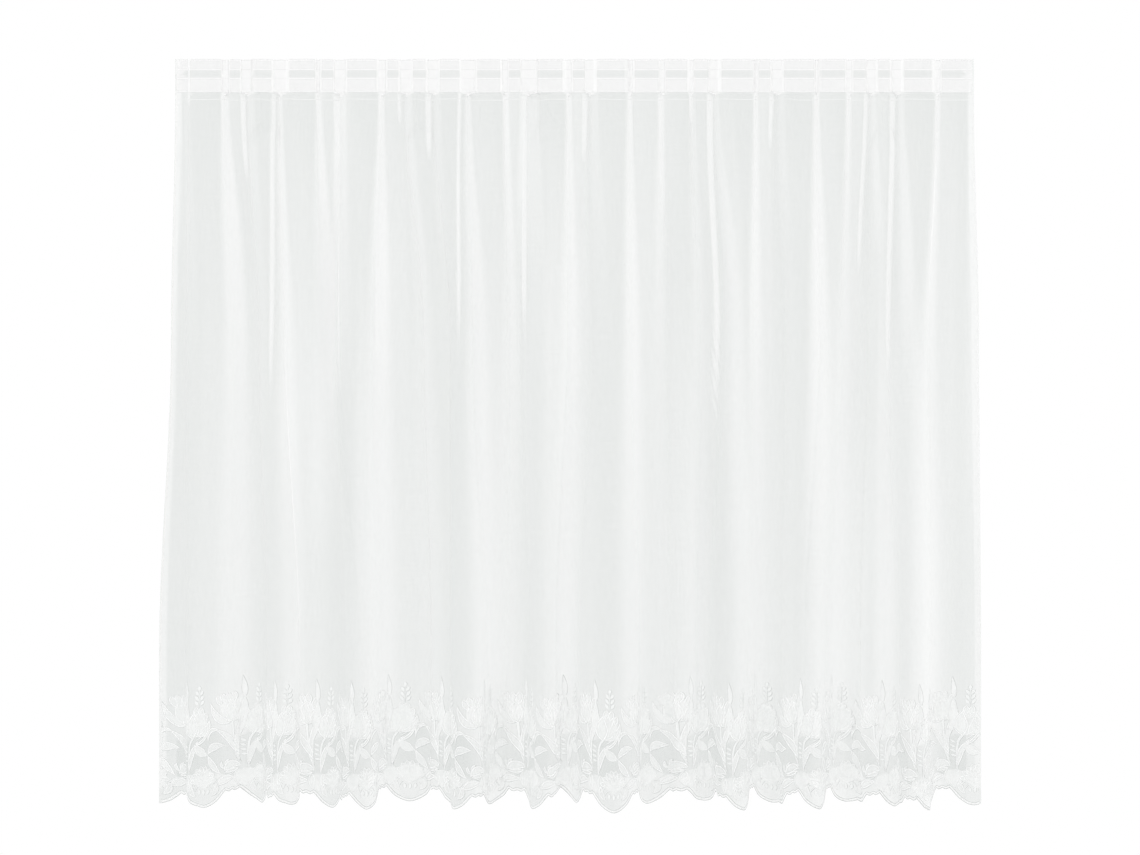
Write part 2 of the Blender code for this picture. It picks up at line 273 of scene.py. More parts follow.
def foldStops(drop):  # the ends of each fold's turns along the cloth, and the middles between the folds
    _, run, half, _, softLeft, softRight = foldsAt(drop)
    half = np.maximum(half, hang["leastHalf"])
    room = np.diff(withEnds(0.0, run, flatWidth)) * hang["columnRoom"]
    ends = []
    for side, soft, space in ((-1, softLeft, room[:-1]), (1, softRight, room[1:])):
        far = np.minimum(half + soft, space)
        near = np.clip(half - soft, hang["leastSpan"] * far, hang["mostSpan"] * far)
        ends += [run + side * far, run + side * near]
    farLeft, nearLeft, farRight, nearRight = ends
    middles = 0.5 * (np.append(0.0, farRight) + np.append(farLeft, flatWidth))
    stops = np.column_stack([middles[:-1], farLeft, nearLeft, nearRight, farRight])
    return withEnds(0.0, np.append(stops, middles[-1]), flatWidth)


def gridColumns(drop):
    stops = foldStops(drop)
    flat, turn, inner = hang["stepsBetween"], hang["stepsInTurn"], hang["stepsInFold"]
    steps = [flat] + [flat, turn, inner, turn, flat] * len(foldRows) + [flat]
    marks = [np.linspace(stops[i], stops[i + 1], count, endpoint=False) for i, count in enumerate(steps)]
    marks = np.append(np.concatenate(marks), flatWidth)
    even = np.linspace(0.0, flatWidth, len(marks))
    return blend(marks, even, stepBetween(drop, hang["evenFrom"], hang["evenAt"]))


drops = [np.linspace(top, bottom, count, endpoint=False) for top, bottom, count in hang["rowsDown"]]
drops = np.append(np.concatenate(drops) * mm, curtain["drop"])
sections = np.stack([sectionAt(drop) for drop in drops], axis=1)  # x, y and turn, by row and place along


def onCloth(along, drop, behind=0.0):  # points of the hung cloth at these places on the flat one
    along = np.clip(along, 0.0, flatWidth)
    row = np.clip(np.searchsorted(drops, drop, side="right") - 1, 0, len(drops) - 2)
    share = np.clip((drop - drops[row]) / (drops[row + 1] - drops[row]), 0.0, 1.0)
    step = sectionAlong[1]
    column = np.clip((along / step).astype(int), 0, len(sectionAlong) - 2)
    part = along / step - column
    found = []
    for table in sections:
        upper = table[row, column] * (1 - part) + table[row, column + 1] * part
        lower = table[row + 1, column] * (1 - part) + table[row + 1, column + 1] * part
        found.append(upper * (1 - share) + lower * share)
    x, y, turn = found
    z = -drop - sagAt(along, drop)
    return np.column_stack([x - np.sin(turn) * behind, y + np.cos(turn) * behind, z])


def addMesh(name, points, faces, material, places, values):
    data = bpy.data.meshes.new(name)
    data.from_pydata([tuple(p) for p in points], [], [tuple(f) for f in faces])
    data.validate()
    obj = bpy.data.objects.new(name, data)
    bpy.context.scene.collection.objects.link(obj)
    data.materials.append(material)
    layer = data.uv_layers.new(name="flatCloth")  # place on the flat cloth, in metres
    corner = np.zeros(len(data.loops), int)
    data.loops.foreach_get("vertex_index", corner)
    layer.data.foreach_set("uv", np.asarray(places, np.float32)[corner].ravel())
    for key, value in values.items():
        attribute = data.attributes.new(key, "FLOAT", "POINT")
        attribute.data.foreach_set("value", np.broadcast_to(value, len(points)).astype(np.float32))
    data.shade_smooth()
    return obj


def gridFaces(rows, columns):
    corner = np.arange(rows * columns).reshape(rows, columns)
    sides = [corner[:-1, :-1], corner[1:, :-1], corner[1:, 1:], corner[:-1, 1:]]
    return np.stack(sides, axis=-1).reshape(-1, 4)


def hangRows(name, rows, material, behind, values):  # rows: places along the cloth, and the drop of each
    along, down = np.concatenate([np.broadcast_arrays(*row) for row in rows], axis=1)
    faces = gridFaces(len(rows), len(rows[0][0]))
    places = np.column_stack([along, -down])
    return addMesh(name, onCloth(along, down, behind), faces, material, places, values)


print("Making the fabrics")
weaving = {
    "sharpness": 3.0,  # of a thread's profile
    "slubs": ((18.0, 420.0, 1.0), (420.0, 25.0, 1.0)),  # thick places run along the thread
    "slubDetail": 2.0,
    "slubGain": 4.0,
    "gapDensity": 0.5,  # cover between the threads, and what a thread adds to it
    "threadDensity": 0.94,
}


def mathNode(tree, operation, *values, clamp=False):
    node = tree.nodes.new("ShaderNodeMath")
    node.operation = operation
    node.use_clamp = clamp
    for index, value in enumerate(values):
        if isinstance(value, bpy.types.NodeSocket):
            tree.links.new(value, node.inputs[index])
        else:
            node.inputs[index].default_value = value
    return node.outputs[0]


def setInputs(node, values):
    for name, value in values.items():
        node.inputs[name].default_value = value


def makeWeaveGroup():  # crossing threads with thick and thin places, from a place on the flat cloth
    group = bpy.data.node_groups.new("wovenThreads", "ShaderNodeTree")
    nodes, links = group.nodes, group.links
    group.interface.new_socket(name="Place", in_out="INPUT", socket_type="NodeSocketVector")
    for name in ("Pitch", "Unevenness"):
        group.interface.new_socket(name=name, in_out="INPUT", socket_type="NodeSocketFloat")
    for name in ("Density", "Height", "Tint"):
        group.interface.new_socket(name=name, in_out="OUTPUT", socket_type="NodeSocketFloat")
    entry, leave = nodes.new("NodeGroupInput"), nodes.new("NodeGroupOutput")
    split = nodes.new("ShaderNodeSeparateXYZ")
    links.new(entry.outputs["Place"], split.inputs[0])
    perPitch = mathNode(group, "DIVIDE", 2 * math.pi, entry.outputs["Pitch"])
    threads = []
    for axis in (0, 1):
        wave = mathNode(group, "SINE", mathNode(group, "MULTIPLY", split.outputs[axis], perPitch))
        lifted = mathNode(group, "MULTIPLY_ADD", wave, 0.5, 0.5)
        threads.append(mathNode(group, "POWER", lifted, weaving["sharpness"]))
    crossing = mathNode(group, "MAXIMUM", *threads)
    slubs = []
    for stretch in weaving["slubs"]:
        scaled = nodes.new("ShaderNodeVectorMath")
        scaled.operation = "MULTIPLY"
        scaled.inputs[1].default_value = stretch
        links.new(entry.outputs["Place"], scaled.inputs[0])
        noise = nodes.new("ShaderNodeTexNoise")
        setInputs(noise, {"Scale": 1.0, "Detail": weaving["slubDetail"]})
        links.new(scaled.outputs[0], noise.inputs["Vector"])
        slubs.append(noise.outputs["Fac"])
    uneven = mathNode(group, "SUBTRACT", mathNode(group, "ADD", *slubs), 1.0)
    gain = mathNode(group, "MULTIPLY", entry.outputs["Unevenness"], weaving["slubGain"])
    uneven = mathNode(group, "MULTIPLY_ADD", uneven, gain, 1.0)
    cover = mathNode(group, "MULTIPLY_ADD", crossing, weaving["threadDensity"], weaving["gapDensity"])
    links.new(mathNode(group, "MULTIPLY", cover, uneven), leave.inputs["Density"])
    links.new(crossing, leave.inputs["Height"])
    links.new(slubs[1], leave.inputs["Tint"])
    return group


weaveGroup = makeWeaveGroup()


def pointValue(tree, name):
    node = tree.nodes.new("ShaderNodeAttribute")
    node.attribute_name = name
    return node.outputs["Fac"]


def mixShaders(tree, share, first, second):
    mix = tree.nodes.new("ShaderNodeMixShader")
    for index, socket in enumerate((share, first, second)):
        tree.links.new(socket, mix.inputs[index])
    return mix.outputs[0]


def makeFabric(name, look):
    material = bpy.data.materials.new(name)
    material.use_nodes = True
    tree = material.node_tree
    new, link = tree.nodes.new, tree.links.new
    shader = tree.nodes["Principled BSDF"]
    setInputs(shader, {"Roughness": look["roughness"], "Sheen Weight": look["sheen"]})
    setInputs(shader, {"Specular IOR Level": look["specular"]})
    place = new("ShaderNodeUVMap")
    place.uv_map = "flatCloth"
    weave = new("ShaderNodeGroup")
    weave.node_tree = weaveGroup
    setInputs(weave, {"Pitch": look["pitch"], "Unevenness": look["unevenness"]})
    link(place.outputs[0], weave.inputs["Place"])

    white = new("ShaderNodeMix")
    white.data_type = "RGBA"
    setInputs(white, {"A": (*look["shade"], 1.0), "B": (*look["white"], 1.0)})
    link(weave.outputs["Tint"], white.inputs["Factor"])
    link(white.outputs["Result"], shader.inputs["Base Color"])

    # layers of cloth, and on the net painted fold highlights, as one value
    steep = pointValue(tree, "layersAndHighlights")
    density = mathNode(tree, "MULTIPLY", weave.outputs["Density"], steep)
    seeThrough = look["seeThrough"]
    if "openGround" in look:  # between the flowers the net is more open, and in the scallops closer
        opened = pointValue(tree, "openGround")
        seeThrough = mathNode(tree, "MULTIPLY_ADD", opened, look["openGround"] - seeThrough, seeThrough)
    passed = mathNode(tree, "POWER", seeThrough, density)
    solid = mathNode(tree, "SUBTRACT", 1.0, passed, clamp=True)
    link(solid, shader.inputs["Alpha"])

    bump = new("ShaderNodeBump")
    setInputs(bump, {"Strength": look["relief"], "Distance": look["reliefDepth"]})
    link(weave.outputs["Height"], bump.inputs["Height"])
    link(bump.outputs[0], shader.inputs["Normal"])

    glow = new("ShaderNodeBsdfTranslucent")  # thin cloth passes light on from its other side
    link(white.outputs["Result"], glow.inputs["Color"])
    clear = new("ShaderNodeBsdfTransparent")
    lit = mixShaders(tree, solid, clear.outputs[0], glow.outputs[0])
    dimmed = mathNode(tree, "POWER", steep, look["closeness"])  # less light comes through close layers
    share = mathNode(tree, "MULTIPLY", dimmed, look["translucent"])
    link(mixShaders(tree, share, shader.outputs[0], lit), tree.nodes["Material Output"].inputs["Surface"])
    return material


baseLook = {
    "seeThrough": 0.49,  # light that one layer lets through
    "pitch": 1.1 * mm,
    "unevenness": 0.04,
    "translucent": 0.5,
    "closeness": -2.5,
    "shade": (0.93, 0.935, 0.93),  # the two whites of the thread
    "white": (0.95, 0.95, 0.95),
    "roughness": 0.85,
    "sheen": 0.1,
    "specular": 0.2,
    "relief": 0.15,
    "reliefDepth": 0.2 * mm,
}
fabricLooks = {  # what each fabric has of its own
    "sheerNet": {"openGround": 0.67},
    "turnedHem": {},
    "headingTape": {
        "seeThrough": 0.5,
        "openGround": 0.97,
        "pitch": 0.9 * mm,
        "shade": (0.94, 0.925, 0.935),
        "white": (0.96, 0.945, 0.955),
    },
    "wovenFlowers": {
        "seeThrough": 0.55,
        "pitch": 0.8 * mm,
        "unevenness": 0.02,
        "relief": 0.3,
        "shade": (0.93, 0.94, 0.935),
        "white": (0.95, 0.957, 0.953),
    },
    "flowerOutlines": {"seeThrough": 0.3, "pitch": 0.7 * mm, "relief": 0.4},
    # grey lines: open stitches that show the room behind, painted shadows beside the motifs and under the
    # tape, and dark lines along the scallop's edge
    "openAndShadowLines": {"seeThrough": 0.72, "shade": (0.6, 0.62, 0.61), "white": (0.6, 0.62, 0.61)},
    "whiteCord": {"seeThrough": 0.08, "pitch": 1.0 * mm, "relief": 0.5},
}
fabrics = {name: makeFabric(name, {**baseLook, **look}) for name, look in fabricLooks.items()}

print("Hanging the net")
net = {
    "soft": (2.5 * mm, 14 * mm),  # softness of a fold's bright band at the tape, and from this drop on
    "softDrop": 900 * mm,
    "topHalf": 0.35,  # a band's half width at the tape, as a share of its half width below
    "showsFrom": 60 * mm,  # above this the pleats' own layers show
    "showsAt": 68 * mm,
    "pleatLayers": 3.2,  # pressed pleats in the heading look close and white
    "pleatSoft": 0.8 * mm,
    "pleatInset": 1.2 * mm,
    "pleatFrom": 63 * mm,  # and thin out over this drop
    "pleatTo": 70 * mm,
    "toe": (62 * mm, 64 * mm, 68 * mm, 76 * mm),  # open end of a pleat, where its layers fan out
    "toeThins": 0.12,
    "bandGain": (0.72, 0.96),  # strength of the bands at the tape and, from this drop on, below
    "bandFull": 340 * mm,
    "thinBy": 0.12,  # the net is drawn thinner just under the tape, down to this drop
    "thinTo": 330 * mm,
    "trail": (0.28, 0.08),  # share of a band that trails off to its right, at the tape and below
    "trailLength": (22 * mm, 40 * mm),
    "creaseLayers": 1.6,
    "creaseSoft": 1.6 * mm,
    "creaseFades": 0.75,  # from this share of its length on
    "creaseNarrows": 0.6,  # share of its width that is gone at its end
    "creaseDip": 0.08,  # darker just right of a crease
    "dipWidth": 3.2 * mm,
    "openFrom": 1306 * mm,  # open ground between the flowers, down to the closer scallops
    "openTo": 1388 * mm,
    "openSoft": 3 * mm,
    "openWaves": (7 * mm, 4 * mm),  # its edge waves once and twice in a repeat
    "openWaveShift": 1.0,
    "openWaveBelow": 0.6,
    "edgeClear": 26 * mm,
    "scallopGround": 0.25,  # the ground below is this much closer than the net
}

# Bright band of each fold, partly cloth gathered in it and partly painted fold highlight, in millimetres and
# layers of net: its lean from the fold at the tape, middle drop and hem, extra layers at four drops, half
# width, then its pressed crease's lean at the top and at its end, end drop and width.
layerColumns = ("tapeLayers", "upperLayers", "middleLayers", "hemLayers")
bandColumns = ("leanTape", "leanMiddle", "leanHem", *layerColumns, "half")
creaseColumns = ("creaseLean", "endLean", "creaseEnd", "creaseWidth")
foldBandRows = (
    (-4, 10, 25, 0.3, 0.1, 0, 0, 8, 0, 0, 100, 2),
    (1, 5, -1, 1.6, 1.3, 0.8, 0.65, 6, -2, 0, 215, 8),
    (8, 0, -39, 0.5, 0.15, 0.1, 0.1, 10, -8, -12, 245, 7),
    (0, 3, -10, 1.2, 1.3, 1.1, 0.6, 6, -12, -32, 681, 4),
    (3, 10, -40, 1.6, 2.2, 0.6, 0.1, 3, 0, 4, 196, 8),
    (-6, -8, -13, 1.5, 1.4, 0, 0, 4, -8, 3, 681, 10),
    (-1, 8, 9, 1.5, 1.7, 0.75, 0.6, 3, -2, 4, 720, 7),
    (5, -4, -3, 0.65, 0.4, 0.35, 0.3, 10, -13, -14, 138, 3),
    (8, -6, -10, 0.5, 0.1, 0, 0, 6, -8, -14, 206, 8),
    (0, 6, -4, 1.2, 1.3, 0.95, 0.6, 4, -14, -31, 584, 1.5),
    (2, 4, -9, 1.9, 0.9, 0.35, 0.15, 3, 0, 2, 274, 8),
    (-11, -8, -12, 1.2, 0, 0, 0, 3, -11, 2, 565, 6),
    (2, 7, 20, 1.6, 1.5, 0.75, 0.55, 4, 1, 3, 545, 7),
    (10, 18, 33, 0.45, 0.1, 0, 0, 10, -7, -12, 215, 8),
    (-1, 2, -17, 1.3, 1.6, 1.1, 0.65, 4, -1, 4, 603, 6),
    (-2, -14, -23, 1.7, 0.45, 0.1, 0, 2, -3, -4, 332, 8),
    (4, 0, 1, 0.6, 0.55, 0.4, 0.4, 4, 0, 0, 140, 4),
    (5, 14, 54, 0.6, 0.5, 0.7, 0.65, 4, -5, -22, 739, 8),
    (1, 2, 16, 1.4, 1.65, 0.75, 0.45, 4, 0, 1, 603, 7),
    (8, 4, 5, 0.4, 0.1, 0.1, 0.1, 6, -7, -15, 186, 6),
    (-1, -3, 17, 1.6, 1.9, 1.1, 0.4, 3, -1, -2, 739, 6),
    (0, 7, 20, 1.5, 0.8, 0.45, 0.25, 4, 0, 1, 254, 8),
    (3, 34, 50, 0.7, 0.25, 0.8, 0.95, 4, -9, -13, 448, 4),
    (8, 24, 9, 0.8, 0.75, 0.15, 0, 4, -7, -6, 700, 6),
    (1, 2, 0, 1.6, 1.4, 0.8, 1.1, 6, 0, 2, 565, 7),
)
foldBands = tableColumns(bandColumns + creaseColumns, foldBandRows, layerColumns)

# Softer bright swells between the folds, also partly painted highlight: the fold each is reckoned from, then
# as above.
softBandRows = (
    (0, -22, -30, -50, 0.7, 0.05, 0, 0, 6),
    (1, -20, -26, -42, 0, 0.05, 0.15, 0.15, 16),
    (3, 40, 44, 19, 0.05, 0.2, 0.45, 0.15, 16),
    (5, 4, 14, -8, 0.8, 0.25, 0, 0, 6),
    (5, 48, 62, 13, 0, 0.05, 0.4, 0.55, 10),
    (6, 20, 34, 35, 0.12, 0.3, 0.25, 0.2, 16),
    (9, 32, 38, 16, 0.1, 0.25, 0.45, 0.45, 16),
    (10, 20, 16, 13, 0.1, 0.1, 0.2, 0.15, 8),
    (11, 4, 30, 36, 0.6, 0.25, 0, 0, 10),
    (11, 50, 62, 52, 0, 0.35, 0.5, 0.45, 10),
    (12, 24, 24, 50, 0.25, 0.35, 0.25, 0.15, 10),
    (14, 30, 36, 19, 0.12, 0.25, 0.3, 0.3, 20),
    (16, -33, -33, -27, 0, 0, 0.25, 0.3, 12),
    (17, 28, 16, 32, 0.1, 0.2, 0, 0, 8),
    (18, 18, 26, 37, 0.2, 0.35, 0.25, 0.25, 8),
    (20, 21, 21, 47, 0.05, 0.1, 0.55, 0.6, 12),
    (21, 16, 32, 50, 0.1, 0.25, 0.25, 0.55, 10),
    (22, 20, 12, 0, 0.2, 0.1, 0, 0, 8),
    (24, -20, -20, -25, 0, 0, 0.75, 0.75, 4),
    (24, 25, 32, 21, 0.05, 0.2, 0.2, 0.3, 12),
    (24, 48, 66, 62, 0, 0.05, 0.1, 0.05, 16),
    (24, 70, 96, 92, 0.5, 0.6, 0.6, 0.2, 5),
)
softBands = tableColumns(("fold", *bandColumns), softBandRows, ("fold", *layerColumns))
bandDrops = (103 * mm, 390 * mm, 660 * mm, 970 * mm)


def brightBands(rows, starts, x, drop, soft, widen):  # sum of the bright bands of these rows, in layers: gathered cloth and painted fold highlight
    lean = between(drop, rows["leanTape"], rows["leanMiddle"], rows["leanHem"])
    heights = zip(*(rows[name] for name in layerColumns))
    layers = np.array([np.interp(drop, bandDrops, stops) for stops in heights])
    away = x[:, None] - (starts + lean)
    band = bell(np.maximum(np.abs(away) - rows["half"] * widen, 0.0), soft)
    lower = stepBetween(drop, curtain["tapeDrop"], net["bandFull"])
    share, length = blend(*net["trail"], lower), blend(*net["trailLength"], lower)
    trail = share * np.exp(-np.maximum(away, 0.0) / length) * (away > 0.0)
    return (layers * np.maximum(band, trail)).sum(axis=1)


def layersAndHighlights(x, drop):  # layers of net that a look from the room passes at these places across one row, with painted fold highlights added as layers
    tapeDrop = curtain["tapeDrop"]
    starts = between(drop, folds["atTape"], folds["atMiddle"], folds["atHem"])
    lower = np.clip((drop - tapeDrop) / (net["softDrop"] - tapeDrop), 0.0, 1.0)
    soft, widen = blend(*net["soft"], lower), blend(net["topHalf"], 1.0, lower)
    deep = brightBands(foldBands, starts, x, drop, soft, widen)
    deep += brightBands(softBands, starts[softBands["fold"].astype(int)], x, drop, soft, 1.0)

    part = np.clip(drop / foldBands["creaseEnd"], 0.0, 1.0)
    lean = blend(foldBands["creaseLean"], foldBands["endLean"], part)
    strength = 1.0 - stepBetween(part, net["creaseFades"], 1.0)
    half = 0.5 * foldBands["creaseWidth"] * (1.0 - net["creaseNarrows"] * part)
    away = x[:, None] - (starts + lean)
    crease = net["creaseLayers"] * strength * bell(np.maximum(np.abs(away) - half, 0.0), net["creaseSoft"])
    dip = net["creaseDip"] * strength * bell(away - half - net["dipWidth"], net["dipWidth"])
    deep = np.maximum(deep, crease.max(axis=1)) - dip.sum(axis=1)
    deep *= blend(*net["bandGain"], stepBetween(drop, tapeDrop, net["bandFull"]))
    deep *= stepBetween(drop, net["showsFrom"], net["showsAt"])

    outside = np.maximum(np.abs(x[:, None] - starts) - 0.5 * folds["tuck"] + net["pleatInset"], 0.0)
    overPleat = bell(outside, net["pleatSoft"]).max(axis=1)
    pleat = net["pleatLayers"] * overPleat * (1.0 - stepBetween(drop, net["pleatFrom"], net["pleatTo"]))
    fansFrom, fansAt, closesFrom, closesAt = net["toe"]
    toe = stepBetween(drop, fansFrom, fansAt) - stepBetween(drop, closesFrom, closesAt)
    thin = net["thinBy"] * (1.0 - stepBetween(drop, tapeDrop, net["thinTo"])) if drop > tapeDrop else 0.0
    return (1.0 - thin + np.maximum(deep, pleat)) * (1.0 - net["toeThins"] * toe * overPleat)


def openGround(along, drop):  # 1 where the net between the flowers is open, below 0 where it is closer
    cycle = 2 * np.pi * (along - curtain["firstAt"]) / curtain["repeat"]
    once, twice = net["openWaves"]
    wave = once * np.sin(cycle) + twice * np.sin(2 * cycle + net["openWaveShift"])
    above = smoothStep((drop - net["openFrom"] - wave) / net["openSoft"])
    below = smoothStep((net["openTo"] + net["openWaveBelow"] * wave - drop) / net["openSoft"])
    inside = (along > net["edgeClear"]) & (along < flatWidth - net["edgeClear"])
    return above * below * inside - net["scallopGround"] * (1.0 - below)


def hangNet():
    rows, steep, opened = [], [], []
    for drop in drops:
        along = gridColumns(drop)
        down = np.full(len(along), drop)
        if drop > hang["hemStart"]:
            share = (drop - hang["hemStart"]) / (curtain["drop"] - hang["hemStart"])
            down = blend(hang["hemStart"], curtain["drop"] - hemRise(along), share)
        rows.append((along, down))
        steep.append(layersAndHighlights(onCloth(along, down)[:, 0], drop))
        opened.append(openGround(along, down))
    values = {"layersAndHighlights": np.concatenate(steep), "openGround": np.concatenate(opened)}
    return hangRows("lace_panel", rows, fabrics["sheerNet"], 0.0, values)


lacePanel = hangNet()

sideHem = {
    "width": 11 * mm,
    "columns": 4,
    "behind": 0.2 * mm,
    "layers": 1.15,
}


def turnHem(name, start, end):
    along = np.linspace(start, end, sideHem["columns"])
    bottom = curtain["drop"] - scallop["notchRise"]
    rows = [(along, drop) for drop in np.append(drops[drops < bottom], bottom)]
    return hangRows(name, rows, fabrics["turnedHem"], sideHem["behind"], {"layersAndHighlights": sideHem["layers"]})


leftHem = turnHem("left_hem", 0.0, sideHem["width"])
rightHem = turnHem("right_hem", flatWidth - sideHem["width"], flatWidth)

print("Weaving the flower border")
# One repeat of the border, in millimetres across from the tall flower and down from the top edge. A leaf is a
# bent line that swells to its width, widest at the given share of its length.
border = {
    "infront": 0.3 * mm,  # the woven motifs stand this far off the net
    "stackStep": 0.02 * mm,  # and each one this much above the last
    "outline": 1.9 * mm,
    "vein": 1.0 * mm,
    "veinAt": 0.45,  # a pair of veins lies at this share of the half width
    "veinLayers": (0.5, 0.4),  # of a single vein and of a pair
    "contour": 1.5 * mm,  # open stitches round each motif, with a painted shadow that makes them widest on the side that this direction points to
    "shadowSide": (0.8, 0.6),
    "contourLeast": 0.35,
    "contourLayers": 1.5,
    "contourInfront": 0.2 * mm,
    "rimLeast": 0.3,
    "rimLayers": 1.7,
    "fillLayers": 1.2,
    "stemLayers": 2.0,
    "budLayers": 1.45,
    "budShape": (0.5, 0.3),  # widest at, and share of its tip kept blunt
    "steps": 16,  # points along a leaf or stem
    "edgeClear": 3 * mm,  # nothing is woven this close to a side edge
}

# Three places of a leaf's line, width, widest at, share of its tip kept blunt, layers of fill and of outline,
# and veins.
leaves = (
    # tall flower: its ground, ruffled tips, then petals from the back to the front
    (8, 1284, 4, 1262, 1, 1236, 42, 0.55, 0.5, 0.7, 0),
    (-12, 1254, -19, 1245, -23, 1232, 12, 0.66, 0.6, 0.5, 0.9),
    (-4, 1250, -11, 1239, -14, 1227, 12, 0.66, 0.6, 0.5, 0.9),
    (4, 1249, 0, 1238, -1, 1226, 12, 0.66, 0.6, 0.5, 0.9),
    (11, 1250, 12, 1238, 11, 1225, 13, 0.66, 0.6, 0.5, 0.9),
    (17, 1258, 26, 1248, 24, 1232, 13, 0.6, 0.3, 0.5, 0.9),
    (11, 1283, 31, 1268, 27, 1242, 14, 0.5, 0, 0.4, 0.6),
    (7, 1283, -26, 1286, -37, 1245, 15, 0.5, 0, 0.7, 0.9, 1),
    (7, 1282, -10, 1272, -16, 1250, 15, 0.55, 0.1, 0.4, 0.5),
    (9, 1284, 1, 1264, 7, 1241, 25, 0.45, 0.05, 0.5, 0.8, 2),
    # low flower
    (47, 1310, 53, 1286, 55, 1258, 44, 0.52, 0.55, 0.7, 0),
    (50, 1272, 51, 1263, 51, 1253, 12, 0.62, 0.6, 0.5, 0.9),
    (58, 1274, 61, 1265, 62, 1254, 12, 0.62, 0.6, 0.5, 0.9),
    (62, 1284, 70, 1275, 72, 1264, 11, 0.62, 0.5, 0.5, 0.9),
    (42, 1307, 23, 1289, 36, 1262, 15, 0.5, 0, 0.5, 0.7),
    (50, 1310, 79, 1306, 78, 1276, 13, 0.5, 0, 0.6, 0.9, 1),
    (51, 1309, 68, 1296, 66, 1270, 13, 0.52, 0.05, 0.3, 0.5),
    (45, 1311, 38, 1290, 45, 1264, 25, 0.45, 0.05, 0.5, 0.8, 2),
    # tall spear leaf in two twists, and its blade down to the stem's foot
    (29, 1240, 30, 1222, 26, 1197, 9, 0.42, 0, 1.6, 0.6),
    (17, 1324, 29, 1280, 29, 1237, 14, 0.6, 0, 1.3, 0.6),
    (22, 1366, 9, 1326, 24, 1276, 9, 0.5, 0, 0.8, 0.7),
    # arching leaf that droops to the left
    (20, 1350, 4, 1308, -26, 1297, 14, 0.42, 0.15, 0.7, 0.9, 1),
    (-22, 1297, -44, 1291, -42, 1324, 8, 0.35, 0, 0.9, 0.9),
    # leaves of the low flower
    (35, 1374, 38, 1336, 56, 1318, 11, 0.45, 0.1, 0.9, 0.9, 1),
    (48, 1326, 72, 1322, 80, 1284, 6, 0.35, 0, 0.6, 0.8),
    # three-leaf sprig
    (75, 1345, 60, 1344, 46, 1324, 17, 0.5, 0, 1, 0.5, 1),
    (76, 1344, 84, 1322, 110, 1328, 15, 0.48, 0, 0.7, 0.9, 1),
    (76, 1346, 82, 1366, 101, 1381, 13, 0.5, 0.05, 0.7, 0.9, 1),
    # rosebud at the foot
    (-9, 1373, -19, 1365, -14, 1357, 6, 0.45, 0, 0.9, 0.6),
    (-7, 1370, -8, 1358, 1, 1354, 6, 0.45, 0, 0.9, 0.6),
    (-10, 1377, 3, 1358, 22, 1371, 17, 0.45, 0.3, 0.7, 0.9, 1),
    (-9, 1380, 4, 1376, 20, 1376, 8, 0.5, 0.2, 0.6, 0.8),
    # pods over the notch
    (-24, 1404, -10, 1388, 12, 1392, 15, 0.45, 0.2, 0.3, 0.8, 2),
    (30, 1414, 30, 1394, 29, 1377, 34, 0.55, 0.8, 0.9, 0),
    (21, 1412, 15, 1396, 18, 1378, 13, 0.66, 0.5, 0.3, 0.5, 1),
    (36, 1412, 42, 1396, 39, 1378, 13, 0.66, 0.5, 0.3, 0.5, 1),
    # side leaves of the big flower in the scallop
    (50, 1424, 37, 1414, 40, 1398, 10, 0.5, 0.2, 0.2, 0.6),
    (82, 1424, 96, 1414, 92, 1397, 10, 0.5, 0.2, 0.2, 0.6),
    # ground of the big flower in the scallop
    (66, 1412, 66, 1390, 66, 1372, 44, 0.5, 0.8, 0.8, 0),
)

# Rings of petals of the big flower: radius across and down, petal length, width, how many, first and last
# direction in degrees from straight up, and layers of outline.
petalRings = (
    (14, 24, 15, 9, 8, -72, 72, 0.5),
    (8, 10, 15, 9, 5, -60, 60, 0.3),
)
bigFlower = {
    "at": (66, 1404),
    "petalShape": (0.55, 0.05),
    "petalLayers": 0.2,
}

# Stems and single lines: the line, and the width at its start and end.
stems = (
    (((8, 1283), (10, 1310), (13, 1340), (22, 1366)), 4.2, 3),
    (((45, 1309), (37, 1322), (34, 1346), (35, 1376)), 4.4, 3),
    (((58, 1222), (58, 1240), (57, 1254)), 1.4, 1),
    (((52, 1316), (66, 1310), (76, 1296)), 1.6, 1),
    (((74, 1345), (78, 1358), (76, 1364)), 1.6, 1),
    (((39, 1410), (50, 1398), (66, 1395), (82, 1398), (93, 1410)), 1.6, 1.6),
    (((45, 1418), (54, 1406), (66, 1403), (78, 1406), (87, 1418)), 1.2, 1.2),
    (((-28, 1400), (-14, 1386), (4, 1384), (16, 1378)), 1.4, 1.4),
)

# Buds and leaflets: middle, length, width, and way they point in degrees from straight up.
buds = (
    ((27, 1323), 11, 4.5, -58),
    ((26.5, 1332), 11, 4.5, -64),
    ((27, 1341), 11, 4.5, -70),
    ((28, 1350), 10, 4.5, -78),
    ((58, 1217), 9, 6, 0),
    ((53.5, 1226), 11, 5.5, -34),
    ((62.5, 1226), 11, 5.5, 34),
    ((53, 1235.5), 12, 5.5, -36),
    ((63, 1235.5), 12, 5.5, 36),
    ((52.5, 1245), 12, 5.5, -38),
    ((63.5, 1245), 12, 5.5, 38),
    ((57, 1416), 11, 5, -10),
    ((66, 1417), 12, 5, 0),
    ((75, 1416), 11, 5, 10),
)
cord = {  # the white cord that finishes the scalloped edge
    "inset": 3.0 * mm,
    "width": 3.0 * mm,
    "layers": 1.0,
    "lift": 0.1 * mm,
    "drawnSteps": 600,
    "steps": 90,
    "edge": (0.7 * mm, 1.4 * mm, 2.4),  # darker line outside it: inset, width and layers
    "inner": (5.2 * mm, 1.2 * mm, 1.6),
}


def normalOf(line):
    heading = np.gradient(line, axis=0)
    heading /= np.maximum(np.linalg.norm(heading, axis=1, keepdims=True), 1e-9)
    return np.column_stack([-heading[:, 1], heading[:, 0]])


